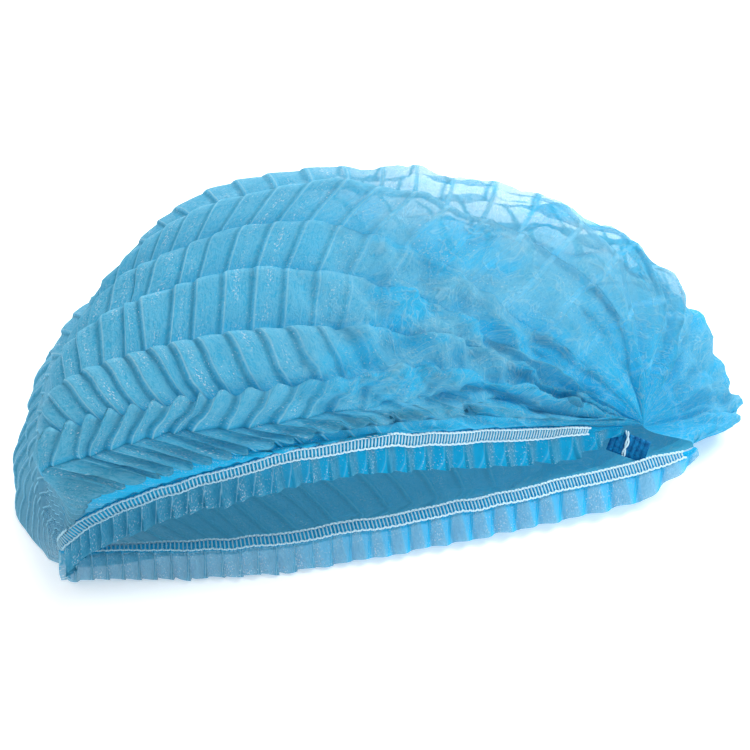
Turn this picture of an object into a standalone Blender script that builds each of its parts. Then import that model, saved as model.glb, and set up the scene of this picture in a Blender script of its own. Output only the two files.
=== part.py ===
"""Disposable hair cover cap, lying on its back with the mouth towards the viewer.

X runs from the left gather to the right one, Y runs away from the viewer and Z is up.
The cap is one pleated sheet. Its long edges are gathered by two elastic bands with a
frill beyond each, and its short ends are drawn together into two ribbed tabs.
Sizes are in metres. Table columns are shares of the named sizes unless a comment says so.
"""

from collections import namedtuple

import bpy
import numpy as np
from mathutils import Euler, Matrix

# Overall sizes
GATHER_SPACING = 0.190
CROWN_DEPTH = 0.112
CROWN_HEIGHT = 0.110

# The sheet
WALL = 0.0014
PLEATS = 32
PLEAT_RISE = 0.0026
FOLD_RISE = 0.0040
END_RADIUS = 0.0050
PRESSED_HEIGHT = 0.0070

# The hems
BAND_WIDTH = 0.0046
BAND_THICKNESS = 0.0020
FRILL_LENGTH = 0.0082
FRILL_WALL = 0.0013
FRILL_RISE = 0.0022
GAP = 0.0004
FLOOR_GAP = 0.0003

# The tabs at the two gathers
TAB_LENGTH = 0.0096
TAB_WIDTH = 0.0070
TAB_THICKNESS = 0.0022
TAB_RIBS = 6
TAB_RIB_RISE = 0.0006

# Where the two gathers sit: depth is a share of CROWN_DEPTH, height of CROWN_HEIGHT
Gather = namedtuple("Gather", "depth height")
LEFT_GATHER = Gather(0.195, 0.085)
RIGHT_GATHER = Gather(0.015, 0.185)

# How roundly every fold leaves the left gather: 1 is a half circle, more is slimmer
LEFT_TAPER = 0.95

# One row for each lengthwise fold, from the front hem over the top to the back hem.
# depth and height: where the fold crosses the middle, as shares of CROWN_DEPTH and
# CROWN_HEIGHT. Below 0 the floor presses it flat. left and right: how far the fold
# swells past the gather on that side. peak: where along the length the fold is highest,
# as a share of the way from the middle to a gather. taper: how slimly it leaves the right
# gather. proud: share of FOLD_RISE, out of the crown when positive. drift: how far the
# pleats have moved along the length at this fold, in pleats.
Fold = namedtuple("Fold", "name depth height left right peak taper proud drift")
FOLDS = [
    Fold("front_hem", -0.092, 0.430, -0.46, -0.45, -0.26, 1.45, 0.0, 0.0),
    Fold("front_recess", -0.128, 0.480, 0.80, -0.45, -0.43, 1.10, -0.4, 1.0),
    Fold("brow_ridge", -0.095, 0.580, 1.28, -0.42, -0.39, 1.28, 1.0, -0.5),
    Fold("brow_valley", -0.075, 0.668, 1.22, -0.48, -0.35, 1.48, -0.8, 0.8),
    Fold("second_ridge", 0.050, 0.750, 0.92, -0.50, -0.30, 1.55, 0.9, -0.6),
    Fold("second_valley", 0.190, 0.850, 0.46, -0.48, -0.24, 1.55, -0.7, -0.6),
    Fold("third_ridge", 0.310, 0.925, 0.00, -0.27, -0.18, 1.42, 0.6, 0.6),
    Fold("top_valley", 0.405, 0.975, -0.28, 0.32, -0.13, 1.15, -0.5, 1.2),
    Fold("top_ridge", 0.500, 0.950, -0.45, 0.86, -0.09, 1.02, 0.5, 0.2),
    Fold("back_valley", 0.630, 0.812, -0.38, 1.40, -0.06, 1.38, -0.6, 1.0),
    Fold("back_ridge", 0.750, 0.635, -0.28, 1.84, -0.05, 1.52, 0.5, 0.0),
    Fold("nape_valley", 0.855, 0.475, -0.10, 1.94, -0.04, 1.50, -0.6, 0.8),
    Fold("nape_ridge", 0.880, 0.310, 0.10, 2.18, -0.03, 1.44, 0.4, 0.0),
    Fold("heel", 0.790, 0.120, 0.42, 2.45, -0.02, 1.44, 0.0, 0.4),
    Fold("sole_back", 0.625, -0.030, 0.56, 2.48, -0.01, 1.42, 0.0, 0.0),
    Fold("sole_middle", 0.450, -0.065, 0.52, 2.46, 0.00, 1.35, 0.0, 0.0),
    Fold("sole_front", 0.290, -0.045, 0.48, 2.36, 0.01, 1.22, 0.0, 0.0),
    Fold("lip_rise", 0.114, 0.030, 0.36, 2.05, 0.04, 1.05, 0.0, 0.2),
    Fold("back_hem", -0.042, 0.092, -0.30, 1.33, 0.23, 0.97, 0.0, 0.0),
]

# How each frill leaves its hem: out is towards the viewer, down is to the floor. It keeps
# its length up to the share full along the hem, then shortens into the right gather.
# first and last: the stretch of the hem that the band covers, as shares of its length.
# end: where the frill stops. A fold back at the right gather has neither.
# order: the way in which the band's rows run, to keep its faces outward.
Hem = namedtuple("Hem", "side out down full first last end order")
HEMS = [
    Hem("front", 0.36, 0.93, 0.86, 0.010, 0.960, 0.950, (-1, 1)),
    Hem("back", 0.46, 0.89, 0.82, 0.030, 0.915, 0.905, (1, -1)),
]
SHORTEST_FRILL = 0.25
SEAM_PUCKER = 0.30
Seam = namedtuple("Seam", "middle inward normal half down")

# Where each tab sits from its gather, in shares of TAB_LENGTH, and how it is turned
Tab = namedtuple("Tab", "side across away up turn lean roll")
TABS = [
    Tab("left", 1.18, 0.08, 0.62, 20.0, 30.0, -25.0),
    Tab("right", -0.82, -0.07, -0.20, -20.0, 40.0, 25.0),
]

# Base colour and roughness of each material
SHEET_BLUE = (0.075, 0.435, 0.700)
BAND_BLUE = (0.150, 0.450, 0.640)
TAB_BLUE = (0.010, 0.190, 0.430)
SHEET_ROUGHNESS = 0.55
BAND_ROUGHNESS = 0.60
TAB_ROUGHNESS = 0.50

SAMPLES = 240
COLUMNS = 2 * PLEATS + 1


def make_material(name, color, roughness):
    """Makes a plain material."""
    material = bpy.data.materials.new(name)
    material.use_nodes = True
    shader = material.node_tree.nodes["Principled BSDF"]
    shader.inputs["Base Color"].default_value = (*color, 1.0)
    shader.inputs["Roughness"].default_value = roughness
    shader.inputs["Metallic"].default_value = 0.0
    return material


def clear_scene():
    """Removes the startup objects."""
    for obj in list(bpy.data.objects):
        bpy.data.objects.remove(obj, do_unlink=True)


def gather_point(side):
    """Returns where the sheet is drawn together on this side, -1 left or 1 right."""
    gather = LEFT_GATHER if side < 0 else RIGHT_GATHER
    return np.array(
        [side * GATHER_SPACING / 2, gather.depth * CROWN_DEPTH, gather.height * CROWN_HEIGHT]
    )


def fold_curve(fold, angles):
    """Returns points of one fold for angles that run from 0 at the left gather to pi."""
    left, right = gather_point(-1), gather_point(1)
    middle = (left + right) / 2
    across = -np.cos(angles)
    side = (1 + across) / 2
    taper = LEFT_TAPER + (fold.taper - LEFT_TAPER) * side
    swell = fold.left + (fold.right - fold.left) * side
    warp = np.log(0.5) / np.log(0.5 + fold.peak / 2)
    share = np.sin(np.pi * (angles / np.pi) ** warp) ** taper
    points = middle + (right - left) / 2 * across[:, None]
    points[:, 0] = GATHER_SPACING / 2 * across * (1 + swell * np.sin(angles) ** 2)
    points[:, 1] += share * (fold.depth * CROWN_DEPTH - middle[1])
    points[:, 2] += share * (fold.height * CROWN_HEIGHT - middle[2])
    return points


def along(fold, shares):
    """Returns points at these shares of the fold's own length, clear of both gathers."""
    near = END_RADIUS / (GATHER_SPACING / 2)
    first = near ** (1 / LEFT_TAPER)
    last = np.pi - near ** (1 / max(1.0, fold.taper))
    points = fold_curve(fold, np.linspace(first, last, SAMPLES))
    steps = np.linalg.norm(np.diff(points, axis=0), axis=1)
    length = np.concatenate([[0.0], np.cumsum(steps)])
    wanted = np.clip(shares, 0.0, 1.0) * length[-1]
    return np.stack([np.interp(wanted, length, points[:, k]) for k in range(3)], axis=1)


def pleat_shares(drift):
    """Returns the shares of the pleat edges, moved along by drift and held at both ends."""
    even = np.linspace(0.0, 1.0, COLUMNS)
    even[1:-1:2] += 0.22 / PLEATS
    return even + drift / PLEATS * np.sin(np.pi * even)


def pleat_wave():
    """Returns each column's height on its pleat, and how far the ends let pleats stand."""
    ends = np.sin(np.pi * np.linspace(0.0, 1.0, COLUMNS)) ** 0.5
    wave = np.where(np.arange(COLUMNS) % 2 == 1, 0.5, -0.5)
    return wave * ends, ends


def unit(vectors):
    """Returns the vectors at length 1."""
    return vectors / np.linalg.norm(vectors, axis=-1, keepdims=True)


def smooth_grid():
    """Returns the crown before its pleats and ridges, and its normals, fold by fold."""
    grid = np.stack([along(fold, pleat_shares(fold.drift)) for fold in FOLDS])
    across = np.gradient(grid, axis=1)
    over = np.gradient(grid, axis=0)
    return grid, unit(np.cross(across, over))


def standing(heights):
    """Returns 1 where the pleats stand free and 0 where the floor presses them flat."""
    return np.clip(heights / PRESSED_HEIGHT, 0.0, 1.0)


def crown_grid():
    """Returns the pleated surface of the crown and its normals, fold by fold."""
    base, normals = smooth_grid()
    wave, ends = pleat_wave()
    for hem, edge in zip(HEMS, (0, -1)):
        seam = hem_seam(hem)
        base[edge] = seam.middle + seam.inward * (seam.half + GAP)
        normals[edge] = seam.normal
    proud = np.array([fold.proud for fold in FOLDS])[:, None]
    raised = FOLD_RISE * proud * ends + PLEAT_RISE * wave
    raised[[0, -1]] = FRILL_RISE * SEAM_PUCKER * wave
    raised = raised * standing(base[:, :, 2])
    return base + normals * raised[:, :, None], normals


def hem_seam(hem):
    """Returns the line, directions and half width in which one hem band lies."""
    grid, normals = smooth_grid()
    edge, near = (0, 1) if hem.side == "front" else (-1, -2)
    spacing = np.linalg.norm(grid[near] - grid[edge], axis=1, keepdims=True)
    down = np.array([0.0, -hem.out, -hem.down])
    inward = unit(unit(grid[near] - grid[edge]) - down)
    tangent = unit(np.gradient(grid[edge], axis=0))
    inward = unit(inward - tangent * np.sum(inward * tangent, axis=1, keepdims=True))
    normal = np.cross(tangent, inward)
    normal *= np.sign(np.sum(normal * normals[edge], axis=1, keepdims=True))
    return Seam(grid[edge], inward, normal, np.minimum(BAND_WIDTH / 2, 0.38 * spacing), down)


def thick_sheet(name, outer, inner):
    """Makes one closed solid between two grids of points with the same rows and columns."""
    rows, columns = outer.shape[:2]
    count = rows * columns
    index = np.arange(count).reshape(rows, columns)
    faces = []
    for r in range(rows - 1):
        for c in range(columns - 1):
            a, b = index[r, c], index[r, c + 1]
            d, e = index[r + 1, c], index[r + 1, c + 1]
            faces.append((a, b, e, d))
            faces.append((count + a, count + d, count + e, count + b))
    rim = list(index[0, :])
    rim += list(index[1:, -1])
    rim += list(index[-1, -2::-1])
    rim += list(index[-2:0:-1, 0])
    for k, a in enumerate(rim):
        b = rim[(k + 1) % len(rim)]
        faces.append((b, a, count + a, count + b))
    points = np.concatenate([outer.reshape(-1, 3), inner.reshape(-1, 3)])
    return solid(name, points, faces)


def solid(name, points, faces):
    """Makes a mesh object from points and faces."""
    mesh = bpy.data.meshes.new(name)
    mesh.from_pydata(points.tolist(), [], [tuple(int(v) for v in face) for face in faces])
    mesh.validate()
    obj = bpy.data.objects.new(name, mesh)
    bpy.context.scene.collection.objects.link(obj)
    return obj


def build_crown():
    """Builds the pleated crown between the two hem bands."""
    grid, normals = crown_grid()
    outer = grid + normals * (WALL / 2)
    inner = grid - normals * (WALL / 2)
    outer[:, :, 2] = np.maximum(outer[:, :, 2], 0.0)
    inner[:, :, 2] = np.maximum(inner[:, :, 2], WALL)
    return thick_sheet("crown", outer, inner)


def build_band(hem):
    """Builds the elastic band that gathers one hem."""
    seam = hem_seam(hem)
    shares = np.linspace(0.0, 1.0, COLUMNS)
    keep = (shares >= hem.first) & (shares <= hem.last)
    rows = [seam.middle + seam.inward * seam.half * way for way in hem.order]
    outer = np.stack([row + seam.normal * (BAND_THICKNESS / 2) for row in rows])
    inner = np.stack([row - seam.normal * (BAND_THICKNESS / 2) for row in rows])
    return thick_sheet(hem.side + "_elastic_band", outer[:, keep], inner[:, keep])


def build_frill(hem):
    """Builds the pleated frill beyond one hem band."""
    seam = hem_seam(hem)
    shares = np.linspace(0.0, 1.0, COLUMNS)
    wave = pleat_wave()[0][:, None]
    fade = np.clip((shares - hem.full) / (hem.end - hem.full), 0.0, 1.0)
    length = (FRILL_LENGTH * (1 - fade * (1 - SHORTEST_FRILL)))[:, None]
    start = seam.middle - seam.inward * (seam.half + GAP)
    facing = np.cross(unit(np.gradient(start, axis=0)), seam.down)
    facing *= np.sign(np.sum(facing * seam.normal, axis=1, keepdims=True))
    outers, inners = [], []
    for reach in (0.0, 0.5, 1.0):
        row = start + seam.down * length * reach
        side = unit(seam.normal * (1 - reach) + facing * reach) if reach < 1 else unit(facing)
        row = row + side * FRILL_RISE * wave * (SEAM_PUCKER + (1 - SEAM_PUCKER) * reach)
        outers.append(row + side * (FRILL_WALL / 2))
        inners.append(row - side * (FRILL_WALL / 2))
    outer, inner = np.stack(outers), np.stack(inners)
    outer[:, :, 2] = np.maximum(outer[:, :, 2], FLOOR_GAP)
    inner[:, :, 2] = np.maximum(inner[:, :, 2], FLOOR_GAP)
    if hem.side == "front":
        outer, inner = outer[::-1], inner[::-1]
    kept = shares <= hem.end
    return thick_sheet(hem.side + "_frill", outer[:, kept], inner[:, kept])


def build_tab(tab):
    """Builds the ribbed block that holds the end of the folded sheet together."""
    side = -1 if tab.side == "left" else 1
    ribs = np.linspace(-0.5, 0.5, 4 * TAB_RIBS + 1)
    step = np.where((np.arange(len(ribs)) % 4) < 2, 1.0, 0.0)
    rise = TAB_THICKNESS / 2 + TAB_RIB_RISE * step
    outer = [np.stack([ribs * TAB_LENGTH, w * np.ones_like(ribs), rise], axis=1)
             for w in (-TAB_WIDTH / 2, TAB_WIDTH / 2)]
    inner = [np.stack([ribs * TAB_LENGTH, w * np.ones_like(ribs), -rise], axis=1)
             for w in (-TAB_WIDTH / 2, TAB_WIDTH / 2)]
    obj = thick_sheet(tab.side + "_end_tab", np.stack(outer), np.stack(inner))
    centre = gather_point(side) + np.array([tab.across, tab.away, tab.up]) * TAB_LENGTH
    turned = Euler(np.radians([90 - tab.lean, tab.roll, tab.turn]), "XYZ")
    obj.matrix_world = Matrix.Translation(centre) @ turned.to_matrix().to_4x4()
    return obj


def settle_on_origin(pieces):
    """Moves every piece so that the middle of the cap's footprint is at the origin."""
    bpy.context.view_layer.update()
    spots = np.concatenate([
        np.array([obj.matrix_world @ vertex.co for vertex in obj.data.vertices])
        for obj in pieces
    ])
    low, high = spots.min(axis=0), spots.max(axis=0)
    shift = Matrix.Translation((-(low[0] + high[0]) / 2, -(low[1] + high[1]) / 2, -low[2]))
    for obj in pieces:
        obj.matrix_world = shift @ obj.matrix_world


def main():
    """Builds every piece in order and gives it its material."""
    clear_scene()
    sheet = make_material("pleated_nonwoven", SHEET_BLUE, SHEET_ROUGHNESS)
    elastic = make_material("covered_elastic", BAND_BLUE, BAND_ROUGHNESS)
    bonded = make_material("bonded_nonwoven", TAB_BLUE, TAB_ROUGHNESS)
    pieces = [(build_crown(), sheet)]
    for hem in HEMS:
        pieces.append((build_band(hem), elastic))
        pieces.append((build_frill(hem), sheet))
    for tab in TABS:
        pieces.append((build_tab(tab), bonded))
    for obj, material in pieces:
        obj.data.materials.append(material)
    settle_on_origin([obj for obj, material in pieces])


main()
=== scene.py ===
"""Dresses the disposable hair cover cap: its pleated sheet, hems, frills, stitches and light."""

import logging
import math
from dataclasses import dataclass, field
from enum import Enum, IntEnum
from typing import NamedTuple

import bmesh
import bpy
import numpy as np
from mathutils import Matrix, Vector


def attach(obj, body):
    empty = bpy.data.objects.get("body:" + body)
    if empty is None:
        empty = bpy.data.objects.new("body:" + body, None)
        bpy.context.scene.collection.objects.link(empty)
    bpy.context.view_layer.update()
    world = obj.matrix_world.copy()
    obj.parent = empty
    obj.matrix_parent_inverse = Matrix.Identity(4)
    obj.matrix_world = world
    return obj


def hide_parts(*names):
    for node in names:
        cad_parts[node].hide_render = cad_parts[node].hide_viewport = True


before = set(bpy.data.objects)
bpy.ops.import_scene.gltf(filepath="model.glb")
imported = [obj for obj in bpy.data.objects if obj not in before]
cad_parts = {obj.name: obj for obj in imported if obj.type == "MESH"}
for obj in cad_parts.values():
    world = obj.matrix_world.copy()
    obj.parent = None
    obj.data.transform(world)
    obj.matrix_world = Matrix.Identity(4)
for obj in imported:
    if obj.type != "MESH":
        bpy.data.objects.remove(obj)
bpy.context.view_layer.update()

LOG = logging.getLogger("hair_cover_cap")

Array = np.ndarray
Color = tuple[float, float, float]

# How far the solids were moved to put the middle of their footprint at the origin
ORIGIN_SHIFT = np.array([-0.017092, -0.043034, 0.0])
FLOOR_CLEARANCE = 0.0003
SEAM_LENGTH = 0.30
LINE_OFFSET = 0.09


class Side(Enum):
    """The hem nearer the viewer, and the one that lies on the floor."""

    FRONT = "front"
    BACK = "back"


class Seed(IntEnum):
    """Which table of noise each unevenness takes, so that every run gives the same cap."""

    SWAY = 5
    PUFF = 9
    CROWN_PLEATS = 11
    CRUMPLE_EDGE = 15
    FRILL_PLEATS = 17
    FRILL_LENGTH = 41
    FRILL_FLARE = 43
    VIVID = 51
    FROST = 53
    WANDER = 61
    CREASE = 71
    HEM = 81


class Fold(NamedTuple):
    """One lengthwise fold of the crown.

    depth and height place its top, in shares of the crown's. left and right are how far it
    bulges out towards either gather, peak how far its top lies to the right of the middle,
    and taper how sharply it narrows to the right gather.
    """

    name: str
    depth: float
    height: float
    left: float
    right: float
    peak: float
    taper: float


FOLDS: tuple[Fold, ...] = (
    Fold("front_hem", -0.092, 0.430, -0.46, -0.45, -0.26, 1.45),
    Fold("front_recess", -0.128, 0.480, 0.80, -0.45, -0.43, 1.10),
    Fold("brow_ridge", -0.095, 0.580, 1.28, -0.42, -0.39, 1.28),
    Fold("brow_valley", -0.075, 0.668, 1.22, -0.48, -0.35, 1.48),
    Fold("second_ridge", 0.050, 0.750, 0.92, -0.50, -0.30, 1.55),
    Fold("second_valley", 0.190, 0.850, 0.46, -0.48, -0.24, 1.55),
    Fold("third_ridge", 0.310, 0.925, 0.00, -0.27, -0.18, 1.42),
    Fold("top_valley", 0.405, 0.975, -0.28, 0.32, -0.13, 1.15),
    Fold("top_ridge", 0.500, 0.950, -0.45, 0.86, -0.09, 1.02),
    Fold("back_valley", 0.630, 0.812, -0.38, 1.40, -0.06, 1.38),
    Fold("back_ridge", 0.750, 0.635, -0.28, 1.84, -0.05, 1.52),
    Fold("nape_valley", 0.855, 0.475, -0.10, 1.94, -0.04, 1.50),
    Fold("nape_ridge", 0.880, 0.310, 0.10, 2.18, -0.03, 1.44),
    Fold("heel", 0.790, 0.120, 0.42, 2.45, -0.02, 1.44),
    Fold("sole_back", 0.625, -0.030, 0.56, 2.48, -0.01, 1.42),
    Fold("sole_middle", 0.450, -0.065, 0.52, 2.46, 0.00, 1.35),
    Fold("sole_front", 0.290, -0.045, 0.48, 2.36, 0.01, 1.22),
    Fold("lip_rise", 0.114, 0.030, 0.36, 2.05, 0.04, 1.05),
    Fold("back_hem", -0.042, 0.092, -0.30, 1.33, 0.23, 0.97),
)


class Band(NamedTuple):
    """The strip of sheet between one fold and the next, with its lengths in metres.

    slant is how many pleats the pleat lines move along the length over the strip. roll is
    how far its upper edge stands out over the next strip, over how far it reaches across
    that fold, in strips, and under how deep its lower edge is tucked behind. Where under is
    below 0, the lower edge stands out instead and hangs over the strip below. lobe is how
    strongly each pleat rounds the upper edge. rise is the height of its pleats and puff
    how far its middle swells.
    """

    slant: float
    roll: float
    over: float
    under: float
    lobe: float
    rise: float
    puff: float


BANDS: tuple[Band, ...] = (
    Band(0.4, -0.0026, 0.75, 0.0000, 0.0, 0.0010, 0.0000),
    Band(-1.6, 0.0006, 0.02, -0.0014, 0.0, 0.0022, 0.0004),
    Band(1.2, 0.0034, 0.22, 0.0000, 1.0, 0.0026, 0.0008),
    Band(-1.8, 0.0040, 0.15, 0.0022, 0.25, 0.0018, 0.0012),
    Band(0.3, 0.0036, 0.14, 0.0024, 0.2, 0.0013, 0.0016),
    Band(0.9, 0.0032, 0.12, 0.0022, 0.2, 0.0009, 0.0020),
    Band(1.0, 0.0028, 0.12, 0.0016, 0.2, 0.0007, 0.0022),
    Band(-1.1, 0.0022, 0.10, 0.0014, 0.2, 0.0007, 0.0022),
    Band(-0.9, 0.0022, 0.10, 0.0012, 0.2, 0.0007, 0.0020),
    Band(0.9, 0.0022, 0.10, 0.0012, 0.2, 0.0009, 0.0022),
    Band(0.9, 0.0022, 0.10, 0.0012, 0.2, 0.0012, 0.0022),
    Band(-0.9, 0.0020, 0.10, 0.0012, 0.2, 0.0016, 0.0020),
    Band(-0.8, 0.0000, 0.00, 0.0000, 0.0, 0.0018, 0.0014),
    Band(0.5, 0.0000, 0.00, 0.0000, 0.0, 0.0016, 0.0004),
    Band(0.0, 0.0000, 0.00, 0.0000, 0.0, 0.0012, 0.0000),
    Band(0.0, 0.0000, 0.00, 0.0000, 0.0, 0.0010, 0.0000),
    Band(0.2, 0.0000, 0.00, 0.0000, 0.0, 0.0010, 0.0000),
    Band(0.4, 0.0000, 0.00, 0.0000, 0.0, 0.0012, 0.0000),
)


class Wave(NamedTuple):
    """One run of creases where the sheet is crumpled.

    along and across are how many creases there are over the whole length and from one fold
    to the next, drift is how far they wander, in creases, and rise their height in metres.
    """

    along: float
    across: float
    start: float
    drift: float
    rise: float


PETALS = Wave(2.0, 0.80, 0.15, 0.45, 0.0120)
CREASES: tuple[Wave, ...] = (
    Wave(12.0, 0.45, 0.20, 0.55, 0.0048),
    Wave(10.0, -0.85, 0.65, 0.50, 0.0044),
    Wave(25.0, 1.30, 0.40, 0.60, 0.0022),
    Wave(46.0, -2.10, 0.10, 0.80, 0.0011),
)


class Profile(NamedTuple):
    """A value that changes evenly from each place to the next."""

    places: tuple[float, ...]
    values: tuple[float, ...]

    def of(self, place: Array) -> Array:
        """Returns the value at every place."""
        return np.interp(place, self.places, self.values)


# Across one knife pleat, its height in shares of its rise
KNIFE = Profile((0.0, 0.08, 0.18, 0.93, 1.0), (0.25, 0.50, 0.36, -0.48, -0.34))
# Along the cap, how far the lowest strip of pleats stops short of the front recess
HANG = Profile((0.0, 0.2, 0.4, 0.7), (-0.55, -0.35, 0.15, 0.60))
# From one fold to the next, how far the fibres are brushed up
BRUSHED = Profile((0.0, 0.1, 0.72, 0.93, 1.0), (0.6, 0.3, 0.3, 1.0, 0.9))


def unit(vectors: Array) -> Array:
    """Returns the vectors at length 1."""
    return vectors / np.maximum(np.linalg.norm(vectors, axis=-1, keepdims=True), 1e-12)


def ease(values: Array) -> Array:
    """Returns a smooth step from 0 to 1 over the same range."""
    values = np.clip(values, 0.0, 1.0)
    return values * values * (3.0 - 2.0 * values)


def ramp(values: Array, start: float, end: float) -> Array:
    """Returns a smooth step along the values.

    Args:
        values: The values.
        start: Where the step is still 0, which may lie above end.
        end: Where it has become 1.

    Returns:
        The step, from 0 to 1.
    """
    return ease((values - start) / (end - start))


def bell(values: Array, middle: float, width: float) -> Array:
    """Returns a bell over the values.

    Args:
        values: The values.
        middle: Where the bell is 1.
        width: How far from there it has fallen to about a third.

    Returns:
        The bell, from 0 to 1.
    """
    return np.exp(-(((values - middle) / width) ** 2))


@dataclass(frozen=True)
class Lattice:
    """Smooth noise over two coordinates, the same on every run."""

    seed: int
    size: int = 64

    def at(self, x: Array, y: Array) -> Array:
        """Returns noise from about -1 to 1.

        Args:
            x: First coordinate, one cell to the unit.
            y: Second coordinate, one cell to the unit.

        Returns:
            The noise at every pair of coordinates.
        """
        table = np.random.default_rng(self.seed).uniform(-1.0, 1.0, (self.size, self.size))
        x, y = np.broadcast_arrays(np.asarray(x, float), np.asarray(y, float))
        left, low = np.floor(x).astype(int), np.floor(y).astype(int)
        s, t = ease(x - left), ease(y - low)
        x0, x1 = left % self.size, (left + 1) % self.size
        y0, y1 = low % self.size, (low + 1) % self.size
        near = table[x0, y0] * (1 - s) + table[x1, y0] * s
        far = table[x0, y1] * (1 - s) + table[x1, y1] * s
        return near * (1 - t) + far * t

    def layers(self, x: Array, y: Array, count: int) -> Array:
        """Returns the sum of several octaves of the noise.

        Args:
            x: First coordinate.
            y: Second coordinate.
            count: How many octaves.

        Returns:
            The summed noise, about -1 to 1.
        """
        total = sum(self.at(x * 2**k + 7.3 * k, y * 2**k + 3.1 * k) / 2**k for k in range(count))
        return total / (2.0 - 2.0 ** (1 - count))


@dataclass
class CapForm:
    """The large form of the cap: where the whole sheet lies before its pleats.

    Each gather is placed in shares of the crown's depth and height. A hem's band narrows to
    the share tapered over taper_run of its length, and wavers by hem_waver, hem_wavers times.
    """

    gather_spacing: float = 0.190
    crown_depth: float = 0.112
    crown_height: float = 0.110
    left_gather: tuple[float, float] = (0.195, 0.085)
    right_gather: tuple[float, float] = (0.015, 0.185)
    left_taper: float = 0.95
    end_radius: float = 0.0012
    band_width: float = 0.0046
    narrow_band: float = 0.38
    tapered: float = 0.65
    taper_run: float = 0.08
    hem_waver: float = 0.00045
    hem_wavers: float = 34.0
    tension: float = 0.42
    samples: int = 900
    curve_samples: int = 1400
    rows: Array = field(init=False)

    def __post_init__(self) -> None:
        """Works out each fold once, with the two hems cut back to their bands."""
        shares = np.linspace(0.0, 1.0, self.samples)
        self.shares = shares
        self.rows = np.stack([self._along(fold, shares) for fold in FOLDS])
        self.hems = {side: self._seam(side) for side in Side}
        for side, edge in ((Side.FRONT, 0), (Side.BACK, -1)):
            seam = self.hems[side]
            self.rows[edge] = seam["middle"] + seam["inward"] * seam["half"]

    def gather(self, side: int) -> Array:
        """Returns where the sheet is drawn together, for side -1 left or 1 right."""
        depth, height = self.left_gather if side < 0 else self.right_gather
        return np.array(
            [side * self.gather_spacing / 2, depth * self.crown_depth, height * self.crown_height]
        )

    def _curve(self, fold: Fold, angles: Array) -> Array:
        """Returns points of one fold.

        Args:
            fold: The fold's row.
            angles: From 0 at the left gather to pi at the right one.

        Returns:
            One point for each angle.
        """
        left, right = self.gather(-1), self.gather(1)
        middle = (left + right) / 2
        across = -np.cos(angles)
        side = (1 + across) / 2
        taper = self.left_taper + (fold.taper - self.left_taper) * side
        swell = fold.left + (fold.right - fold.left) * side
        warp = math.log(0.5) / math.log(0.5 + fold.peak / 2)
        share = np.sin(np.pi * (angles / np.pi) ** warp) ** taper
        points = middle + (right - left) / 2 * across[:, None]
        points[:, 0] = self.gather_spacing / 2 * across * (1 + swell * np.sin(angles) ** 2)
        points[:, 1] += share * (fold.depth * self.crown_depth - middle[1])
        points[:, 2] += share * (fold.height * self.crown_height - middle[2])
        return points

    def _along(self, fold: Fold, shares: Array) -> Array:
        """Returns points at these shares of the fold's own length.

        Args:
            fold: The fold's row.
            shares: From 0 to 1.

        Returns:
            One point for each share.
        """
        near = self.end_radius / (self.gather_spacing / 2)
        first = near ** (1 / self.left_taper)
        last = np.pi - near ** (1 / max(1.0, fold.taper))
        points = self._curve(fold, np.linspace(first, last, self.curve_samples))
        steps = np.linalg.norm(np.diff(points, axis=0), axis=1)
        length = np.concatenate([[0.0], np.cumsum(steps)])
        wanted = np.clip(shares, 0.0, 1.0) * length[-1]
        return np.stack([np.interp(wanted, length, points[:, k]) for k in range(3)], axis=1)

    def _seam(self, side: Side) -> dict[str, Array]:
        """Returns the line, directions and half width of one hem's band.

        Args:
            side: Which hem.

        Returns:
            middle, inward, normal, half and down, by name.
        """
        edge, near = (0, 1) if side is Side.FRONT else (-1, -2)
        slope = (0.36, 0.93) if side is Side.FRONT else (0.46, 0.89)
        across = np.gradient(self.rows[edge], axis=0)
        over = self.rows[1] - self.rows[0] if side is Side.FRONT else self.rows[-1] - self.rows[-2]
        outward = unit(np.cross(across, over))
        gap = self.rows[near] - self.rows[edge]
        spacing = np.linalg.norm(gap, axis=1, keepdims=True)
        down = np.array([0.0, -slope[0], -slope[1]])
        tangent = unit(across)
        inward = unit(unit(gap) - down)
        inward = unit(inward - tangent * np.sum(inward * tangent, axis=1, keepdims=True))
        normal = np.cross(tangent, inward)
        normal *= np.sign(np.sum(normal * outward, axis=1, keepdims=True))
        half = np.minimum(self.band_width / 2, self.narrow_band * spacing)
        narrowed = 0.87 if side is Side.FRONT else 0.84
        taper = ramp(self.shares, narrowed, narrowed + self.taper_run)
        half = half * (1 - self.tapered * taper)[:, None]
        return {"middle": self.rows[edge].copy(), "inward": inward, "normal": normal,
                "half": half, "down": np.broadcast_to(down, normal.shape).copy()}

    def hem(self, side: Side, shares: Array) -> dict[str, Array]:
        """Returns the seam of one hem at these shares of its length.

        Args:
            side: Which hem.
            shares: From 0 at the left gather to 1.

        Returns:
            The seam's arrays, by name.
        """
        found = {}
        for name, values in self.hems[side].items():
            found[name] = np.stack(
                [np.interp(shares, self.shares, values[:, k]) for k in range(values.shape[1])],
                axis=-1,
            )
        waver = self.hem_waver * Lattice(Seed.HEM).at(shares * self.hem_wavers, shares * 0.0)
        found["middle"] = found["middle"] + found["inward"] * waver[:, None]
        return found

    def surface(self, folds: Array, shares: Array) -> Array:
        """Returns points of the smooth crown.

        Args:
            folds: Place across the folds, 0 at the front hem, one for each fold.
            shares: Place along them, from 0 to 1.

        Returns:
            One point for each pair.
        """
        last = len(FOLDS) - 1
        folds = np.clip(folds, 0.0, last)
        base = np.minimum(np.floor(folds).astype(int), last - 1)
        t = (folds - base)[..., None]
        spot = np.clip(shares, 0.0, 1.0) * (self.samples - 1)
        column = np.minimum(np.floor(spot).astype(int), self.samples - 2)
        s = (spot - column)[..., None]

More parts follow.
